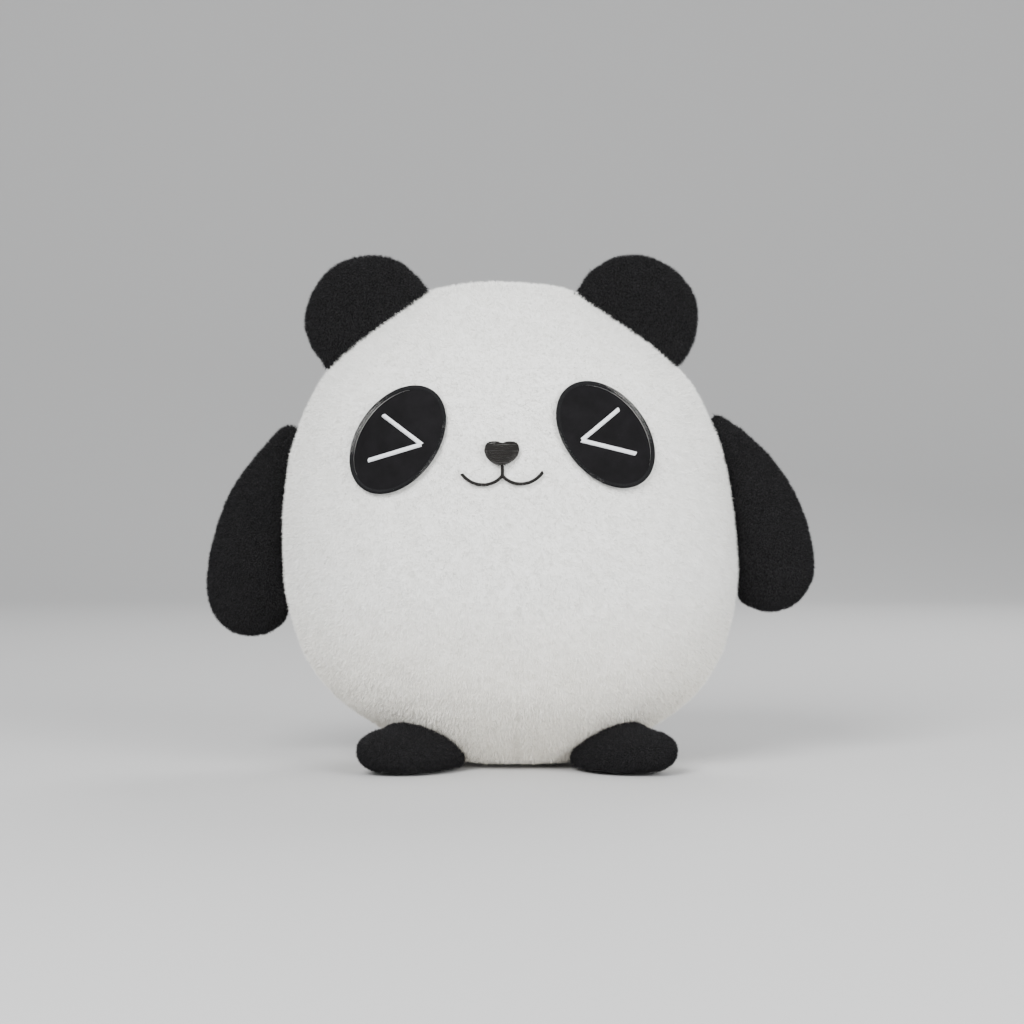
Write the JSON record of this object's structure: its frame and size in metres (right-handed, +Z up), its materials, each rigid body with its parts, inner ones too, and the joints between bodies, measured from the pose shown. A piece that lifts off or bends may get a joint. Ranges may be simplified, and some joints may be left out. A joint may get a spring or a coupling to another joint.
{
  "type": "plush panda",
  "caption": "Round stuffed panda with an egg-shaped white body, black ears, arms and feet, oval eye patches and an embroidered smiling face, standing on a flat base.",
  "frame": {"origin": "on the ground under the middle of the toy, between its feet", "axes": "+Z up, -Y the way the face looks, +X to the right of someone who looks at the face; left and right in the names are as that person sees them"},
  "size_m": [0.307, 0.1608, 0.2546],
  "materials": {
    "white_plush": "short brushed pile",
    "black_plush": "short brushed pile",
    "black_felt": "smooth felted cloth",
    "white_satin_thread": "satin stitch",
    "dark_satin_thread": "satin stitch",
    "sewing_thread": "twisted thread",
    "polyester_stuffing": "loose crimped fibre",
    "pouch_cloth": "plain weave",
    "plastic_pellets": "small round pellets"
  },
  "bodies": {
    "body": {"back_closing_stitches": "sewing_thread", "body_back_left_panel": "white_plush", "body_back_right_panel": "white_plush", "body_base_panel": "white_plush", "body_front_panel": "white_plush", "body_stuffing": "polyester_stuffing", "left_eye_edge_stitching": "dark_satin_thread", "left_eye_patch": "black_felt", "left_eye_wink": "white_satin_thread", "mouth_embroidery": "dark_satin_thread", "nose_embroidery": "dark_satin_thread", "pellet_fill": "plastic_pellets", "pellet_pouch": "pouch_cloth", "right_eye_edge_stitching": "dark_satin_thread", "right_eye_patch": "black_felt", "right_eye_wink": "white_satin_thread"},
    "left_ear": {"left_ear_back_panel": "black_plush", "left_ear_front_panel": "black_plush", "left_ear_stuffing": "polyester_stuffing"},
    "right_ear": {"right_ear_back_panel": "black_plush", "right_ear_front_panel": "black_plush", "right_ear_stuffing": "polyester_stuffing"},
    "left_shoulder": {"left_shoulder_stitches": "sewing_thread"},
    "right_shoulder": {"right_shoulder_stitches": "sewing_thread"},
    "left_arm": {"left_arm_back_panel": "black_plush", "left_arm_front_panel": "black_plush", "left_arm_stuffing": "polyester_stuffing"},
    "right_arm": {"right_arm_back_panel": "black_plush", "right_arm_front_panel": "black_plush", "right_arm_stuffing": "polyester_stuffing"},
    "left_foot": {"left_foot_sole": "black_plush", "left_foot_stuffing": "polyester_stuffing", "left_foot_upper": "black_plush"},
    "right_foot": {"right_foot_sole": "black_plush", "right_foot_stuffing": "polyester_stuffing", "right_foot_upper": "black_plush"}
  },
  "joints": [
    {"name": "left_ear_fold", "type": "hinge", "parent": "body", "child": "left_ear", "pos_m": [-0.06875, -0.009, 0.21984], "axis": [0.7431, 0, 0.6691], "range_deg": [-25, 25], "stiffness_Nm_per_rad": 0.02},
    {"name": "left_arm_swing", "type": "hinge", "parent": "body", "child": "left_shoulder", "pos_m": [-0.11044, 0.008, 0.1685], "axis": [-1, 0, 0], "range_deg": [-30, 40], "stiffness_Nm_per_rad": 0.03},
    {"name": "left_arm_raise", "type": "hinge", "parent": "left_shoulder", "child": "left_arm", "pos_m": [-0.11044, 0.008, 0.1685], "axis": [0, 1, 0], "range_deg": [0, 70], "stiffness_Nm_per_rad": 0.03},
    {"name": "left_foot_flex", "type": "hinge", "parent": "body", "child": "left_foot", "pos_m": [-0.02678, -0.02329, 0], "axis": [0.5736, -0.8192, 0], "range_deg": [0, 35], "stiffness_Nm_per_rad": 0.05},
    {"name": "right_ear_fold", "type": "hinge", "parent": "body", "child": "right_ear", "pos_m": [0.05916, -0.009, 0.21994], "axis": [0.7986, 0, -0.6018], "range_deg": [-25, 25], "stiffness_Nm_per_rad": 0.02},
    {"name": "right_arm_swing", "type": "hinge", "parent": "body", "child": "right_shoulder", "pos_m": [0.10258, 0.008, 0.1725], "axis": [-1, 0, 0], "range_deg": [-30, 40], "stiffness_Nm_per_rad": 0.03},
    {"name": "right_arm_raise", "type": "hinge", "parent": "right_shoulder", "child": "right_arm", "pos_m": [0.10258, 0.008, 0.1725], "axis": [0, -1, 0], "range_deg": [0, 70], "stiffness_Nm_per_rad": 0.03},
    {"name": "right_foot_flex", "type": "hinge", "parent": "body", "child": "right_foot", "pos_m": [0.03178, -0.02329, 0], "axis": [0.5736, 0.8192, 0], "range_deg": [0, 35], "stiffness_Nm_per_rad": 0.05}
  ]
}
